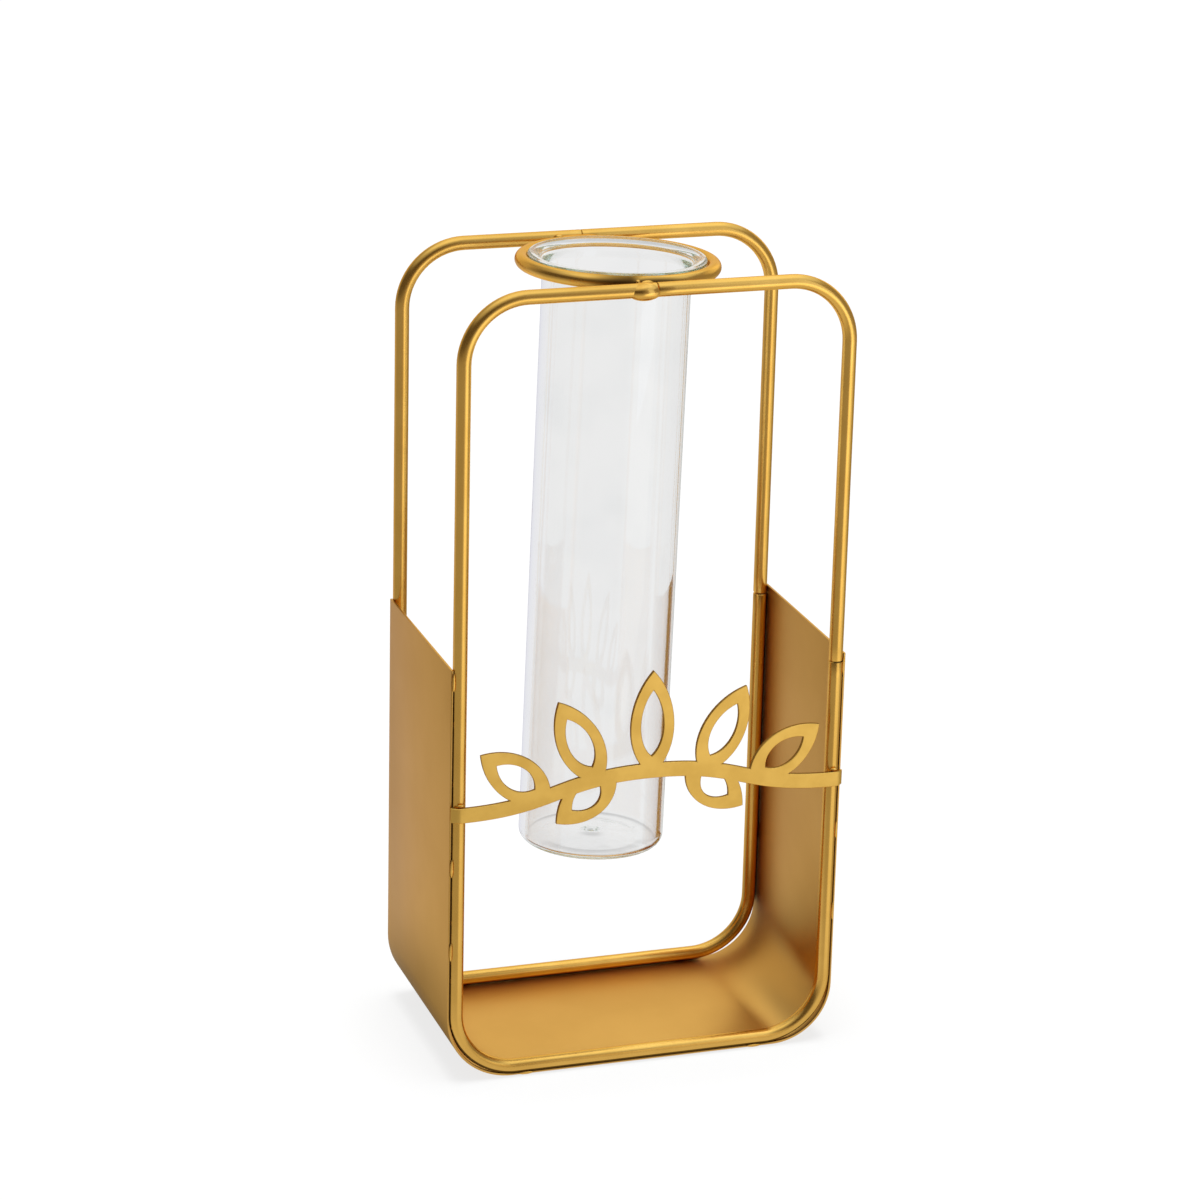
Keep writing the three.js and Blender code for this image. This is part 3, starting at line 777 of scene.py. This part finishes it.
def sprayMesh():
    flat, triangles = sprayTriangles()
    sides = {}
    for a, b, c in triangles:
        for side in ((a, b), (b, c), (c, a)):
            sides[side] = True
    rim = [side for side in sides if (side[1], side[0]) not in sides]
    outward = {}
    for a, b in rim:
        run = (flat[b] - flat[a]).normalized()
        for k in (a, b):
            outward.setdefault(k, []).append(Vector((run.y, -run.x)))
    inset = list(flat)
    for k, normals in outward.items():
        mean = (normals[0] + normals[-1]).normalized()
        spread = max(sprayPlan["leastSpread"], mean.dot(normals[0]))
        inset[k] = flat[k] - mean * sprayPlan["edgeBreak"] / spread
    thick, edge = sprayPlan["thickness"], sprayPlan["edgeBreak"]
    layers = [(inset, thick), (flat, thick - edge), (flat, edge), (inset, 0.0)]
    count, deepest = len(flat), len(layers) - 1
    points = [sprayPlace(p, depth) for outline, depth in layers for p in outline]
    faces = list(triangles)
    faces += [tuple(deepest * count + k for k in reversed(t)) for t in triangles]
    for a, b in rim:
        for layer in range(deepest):
            front, back = layer * count, (layer + 1) * count
            faces.append((front + b, front + a, back + a, back + b))
    mesh = meshFrom("leafSpray", points, [], faces, sprayGold)
    tidy = bmesh.new()
    tidy.from_mesh(mesh)
    loose = [v for v in tidy.verts if not v.link_faces]
    bmesh.ops.delete(tidy, geom=loose, context="VERTS")
    tidy.to_mesh(mesh)
    tidy.free()
    mesh.shade_smooth()
    mesh.set_sharp_from_angle(angle=math.radians(sprayPlan["sharpAngle"]))
    return mesh


spray = addObject("leafSpray", sprayMesh())
onBody(spray, "stand", "gold_spray", "leaf_spray")
print("stage: leaf spray cut")


# Ring welds: lumps of filler run together round the wires, each at its middle and half size
meltPlan = dict(detail=4, voxel=0.12, smoothing=3, easing=0.5)
ringWelds = {
    "front": (((-4.2, -0.2, -0.3), (4.2, 2.35, 2.2)), ((-5.3, 1.75, 1.65), (0.6, 0.6, 0.5)),
              ((-3.0, 1.75, 1.1), (1.7, 0.7, 0.8))),
    "rear": (((-4.2, -1.75, 0.55), (5.4, 0.9, 0.4)), ((-8.9, -1.9, 0.6), (1.15, 1.0, 0.8))),
}


def meltedLumps(name, place, lumps, material):
    cluster = bmesh.new()
    for offset, radii in lumps:
        size = Matrix.Diagonal((*(Vector(radii) * mm), 1.0))
        spot = Matrix.Translation((place + Vector(offset)) * mm)
        bmesh.ops.create_icosphere(cluster, subdivisions=meltPlan["detail"], radius=1.0, matrix=spot @ size)
    mesh = bpy.data.meshes.new(name)
    cluster.to_mesh(mesh)
    cluster.free()
    piece = addObject(name, mesh)
    melt = piece.modifiers.new("melt", "REMESH")
    melt.mode = "VOXEL"
    melt.voxel_size = meltPlan["voxel"] * mm
    ease = piece.modifiers.new("ease", "SMOOTH")
    ease.factor = meltPlan["easing"]
    ease.iterations = meltPlan["smoothing"]
    fused = evaluatedMesh(piece)
    piece.modifiers.clear()
    piece.data = fused
    fused.materials.clear()
    fused.materials.append(material)
    fused.shade_smooth()
    return piece


for side, y in frameSides:
    weld = meltedLumps(side + "RingWeld", Vector((0, y, topZ)), ringWelds[side], weldGold)
    onBody(weld, "stand", "gold_weld", "ring_weld_" + side)
print("stage: ring welds run")


# Tack welds in the seams and at the spray's ends, each where its solid is
tackPlan = dict(detail=3, roughness=0.10, lumpSize=1.1, swell=(0.8, 0.9, 1.0), sink=0.2)
tackNodes = [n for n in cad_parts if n.startswith(("tack_weld_", "spray_weld_"))]


def tackMesh():
    boxes = [nodeBox(n) for n in tackNodes]
    spots = []
    for low, high in boxes:
        middle = (low + high) / 2
        upright = high.z - low.z > high.x - low.x
        inward = Vector((-math.copysign(tackPlan["sink"], middle.x), 0, 0)) if upright else Vector()
        spots.append(middle + inward)
    mesh = meshFrom("tackPoints", spots, [], [])
    size = mesh.attributes.new("halfSize", "FLOAT_VECTOR", "POINT")
    for i, (low, high) in enumerate(boxes):
        size.data[i].vector = (high - low) / 2 * Vector(tackPlan["swell"]) * mm
    return mesh


tacks = fromNodes("tackWelds", tackMesh(), makeBeadTree(), {
    "Detail": tackPlan["detail"], "Roughness": tackPlan["roughness"] * mm,
    "Lump Size": tackPlan["lumpSize"] * mm, "Material": weldGold})
onBody(tacks, "stand", "gold_weld", *tackNodes)
print("stage: tack welds set,", len(tackNodes))


# Floor: white to the camera, a little darker through the glass, with painted shade near the object there;
# metal mirrors it only near the foot, with painted shadow beside the band
floorPlan = dict(size=12000, colour=(0.6, 0.6, 0.6), glow=0.79, shade=0.12, through=0.85, throughNear=0.55,
                 clearFrom=35, clearTo=95, mirrored=0.74, nearReach=110, dim=0.28, dimReach=75,
                 dimFade=12)


def makeFloor():
    material, board = newMaterial("paleFloor")
    rays = board.add("ShaderNodeLightPath", output="Is Camera Ray")
    x, y = board.split(board.add("ShaderNodeTexCoord", output="Object"))[:2]
    besideX = (abs(x) - bandHigh.x * mm).highest(0.0)
    besideY = (abs(y) - bandHigh.y * mm).highest(0.0)
    away = (besideX * besideX + besideY * besideY) ** 0.5
    near = board.smooth(away, floorPlan["nearReach"] * mm, 0.0)
    # painted shadow: the glow that metal mirrors darkens near the band, except in front of it
    dim = board.smooth(away, floorPlan["dimReach"] * mm, 0.0)
    dim = dim * board.smooth(y, bandLow.y * mm, (bandLow.y + floorPlan["dimFade"]) * mm)
    strength = floorPlan["mirrored"] - dim * (floorPlan["mirrored"] - floorPlan["dim"])
    plain = board.add("ShaderNodeBsdfDiffuse", None, {"Color": rgba(floorPlan["colour"])})
    beyond = board.add("ShaderNodeBsdfTransparent")
    mirrored = board.either(near, beyond, board.glow(strength))
    shaded = board.add("ShaderNodeBsdfDiffuse", None, {"Color": rgba((floorPlan["shade"],) * 3)})
    pale = board.add("ShaderNodeAddShader", None, {0: shaded, 1: board.glow(floorPlan["glow"])})
    # painted shade: the floor seen through the glass darkens near the object
    clear = board.smooth(away, floorPlan["clearFrom"] * mm, floorPlan["clearTo"] * mm)
    clear = floorPlan["throughNear"] + clear * (floorPlan["through"] - floorPlan["throughNear"])
    surface = board.either(rays.out("Is Glossy Ray"), plain, mirrored)
    surface = board.either(rays.out("Is Transmission Ray"), surface, board.glow(clear))
    surface = board.either(rays, surface, pale)
    board.add("ShaderNodeOutputMaterial", None, {"Surface": surface})
    half = floorPlan["size"] / 2
    corners = [(-half, -half, 0), (half, -half, 0), (half, half, 0), (-half, half, 0)]
    floor = addObject("floor", meshFrom("floor", corners, [], [(0, 1, 2, 3)], material))


makeFloor()


# World: white behind the object; metal mirrors a studio that is dim at eye level and pale below and above
studio = dict(
    seen=1.0, through=0.85, throughHigh=0.6, dimFrom=0.2, dimTo=0.6, panelCore=0.6, leastLevel=1e-6,
    levels=((-1.0, (0.72, 0.70, 0.60)), (-0.65, (0.72, 0.70, 0.60)), (-0.35, (0.40, 0.39, 0.37)),
            (0.0, (0.33, 0.305, 0.28)), (0.5, (0.31, 0.285, 0.26)), (0.8, (0.55, 0.57, 0.58)),
            (0.92, (1.06, 1.13, 1.16)), (1.0, (1.15, 1.22, 1.25))),
    panels=(dict(azimuth=-50, width=24, soft=14, rise=-26, height=22, colour=(0.52, 0.54, 0.55)),
            dict(azimuth=71, width=8, soft=34, rise=26, height=38, colour=(0.54, 0.53, 0.46)),
            dict(azimuth=34, width=10, soft=12, rise=14, height=14, colour=(0.55, 0.55, 0.50)),
            dict(azimuth=112, width=22, soft=26, rise=-28, height=22, colour=(0.25, 0.26, 0.42)),
            dict(azimuth=116, width=10, soft=14, rise=11, height=22, colour=(0.27, 0.235, 0.16)),
            dict(azimuth=215, width=50, soft=22, rise=16, height=26, colour=(-0.21, -0.205, -0.20))))


def makeWorld():
    world = bpy.data.worlds.new("studioWorld")
    bpy.context.scene.world = world
    world.use_nodes = True
    world.cycles.sampling_method = "NONE"
    board = Board(world.node_tree)
    x, y, z = board.split(board.add("ShaderNodeTexCoord", output="Generated"))
    level = (x * x + y * y + studio["leastLevel"]) ** 0.5
    stops = [((height + 1) / 2, colour) for height, colour in studio["levels"]]
    light = board.add("ShaderNodeValToRGB", {"stops": stops}, {0: (z + 1.0) * 0.5})
    for panel in studio["panels"]:
        turn, width = math.radians(panel["azimuth"]), panel["width"]
        facing = (x * math.cos(turn) + y * math.sin(turn)) / level
        across = board.smooth(facing, math.cos(math.radians(width + panel["soft"])),
                              math.cos(math.radians(width)))
        middle, half = math.radians(panel["rise"]), math.radians(panel["height"])
        lean = z * math.cos(middle) - level * math.sin(middle)  # sine of the angle off the panel's middle
        upright = 1.0 - board.smooth(abs(lean), math.sin(half) * studio["panelCore"], math.sin(half))
        share = board.add("ShaderNodeVectorMath", {"operation": "SCALE"},
                          {0: panel["colour"], "Scale": across * upright})
        light = board.add("ShaderNodeVectorMath", {"operation": "ADD"}, {0: light, 1: share})
    rays = board.add("ShaderNodeLightPath", output="Is Camera Ray")
    inGlass = rays.out("Is Transmission Ray")
    mirrored = board.add("ShaderNodeBackground", None, {"Color": light})
    high = board.smooth(z, studio["dimFrom"], studio["dimTo"])
    clear = studio["through"] - high * (studio["through"] - studio["throughHigh"])
    white = rays * studio["seen"] + inGlass * clear
    plain = board.add("ShaderNodeBackground", None, {"Color": rgba((1, 1, 1)), "Strength": white})
    surface = board.either(rays.highest(inGlass), mirrored, plain)
    board.add("ShaderNodeOutputWorld", None, {"Surface": surface})


makeWorld()


# Lamps: soft light from above shades the floor, and the metal mirrors the cards
topLamp = dict(strength=4.5, spread=26)
cards = {"lowCard": dict(place=(175, -280, 65), size=(250, 130), tilt=90, colour=(0.48, 0.46, 0.40)),
         "rightCard": dict(place=(172, -262, 260), size=(150, 320), tilt=90, colour=(0.60, 0.70, 0.86)),
         "overCard": dict(place=(200, 0, 420), size=(200, 520), tilt=0, colour=(0.34, 0.42, 0.54))}


def addLamp(name, light):
    lamp = addObject(name, light)
    lamp.visible_camera = False
    lamp.visible_transmission = False
    return lamp


def makeLamps():
    light = bpy.data.lights.new("topLamp", "SUN")
    light.energy = topLamp["strength"]
    light.angle = math.radians(topLamp["spread"])
    above = addLamp("topLamp", light)
    above.visible_glossy = False
    for name, card in cards.items():
        light = bpy.data.lights.new(name, "AREA")
        light.shape = "RECTANGLE"
        light.size, light.size_y = card["size"][0] * mm, card["size"][1] * mm
        light.color = card["colour"]
        light.energy = math.pi * light.size * light.size_y  # as bright as its colour
        lamp = addLamp(name, light)
        turned = Matrix.Rotation(math.radians(card["tilt"]), 4, "X")
        lamp.matrix_world = Matrix.Translation(Vector(card["place"]) * mm) @ turned
        lamp.visible_diffuse = False


makeLamps()


# Camera at the photograph's place: angles from straight ahead, in degrees
viewpoint = dict(place=(-307.30, -900.27, 437.20), yaw=18.600, pitch=18.865, roll=-1.402, lens=122.187,
                 sensor=36, clip=(10, 50000))


def makeCamera():
    yaw, pitch, roll = (math.radians(viewpoint[k]) for k in ("yaw", "pitch", "roll"))
    ahead = Vector((math.sin(yaw) * math.cos(pitch), math.cos(yaw) * math.cos(pitch), -math.sin(pitch)))
    level = Vector((math.cos(yaw), -math.sin(yaw), 0))
    below = ahead.cross(level)
    right = level * math.cos(roll) + below * math.sin(roll)
    down = below * math.cos(roll) - level * math.sin(roll)
    axes = Matrix((right, -down, -ahead)).transposed().to_4x4()
    data = bpy.data.cameras.new("camera")
    data.lens = viewpoint["lens"]
    data.sensor_width = viewpoint["sensor"]
    data.clip_start, data.clip_end = (distance * mm for distance in viewpoint["clip"])
    camera = addObject("camera", data)
    camera.matrix_world = Matrix.Translation(Vector(viewpoint["place"]) * mm) @ axes
    bpy.context.scene.camera = camera


makeCamera()
scene = bpy.context.scene
scene.view_settings.view_transform = "Standard"
glassBounces, clearBounces = 200, 24  # light crosses the glass walls and lip many times
scene.cycles.max_bounces = glassBounces
scene.cycles.glossy_bounces = glassBounces
scene.cycles.transmission_bounces = glassBounces
scene.cycles.transparent_max_bounces = clearBounces
print("stage: studio lit")
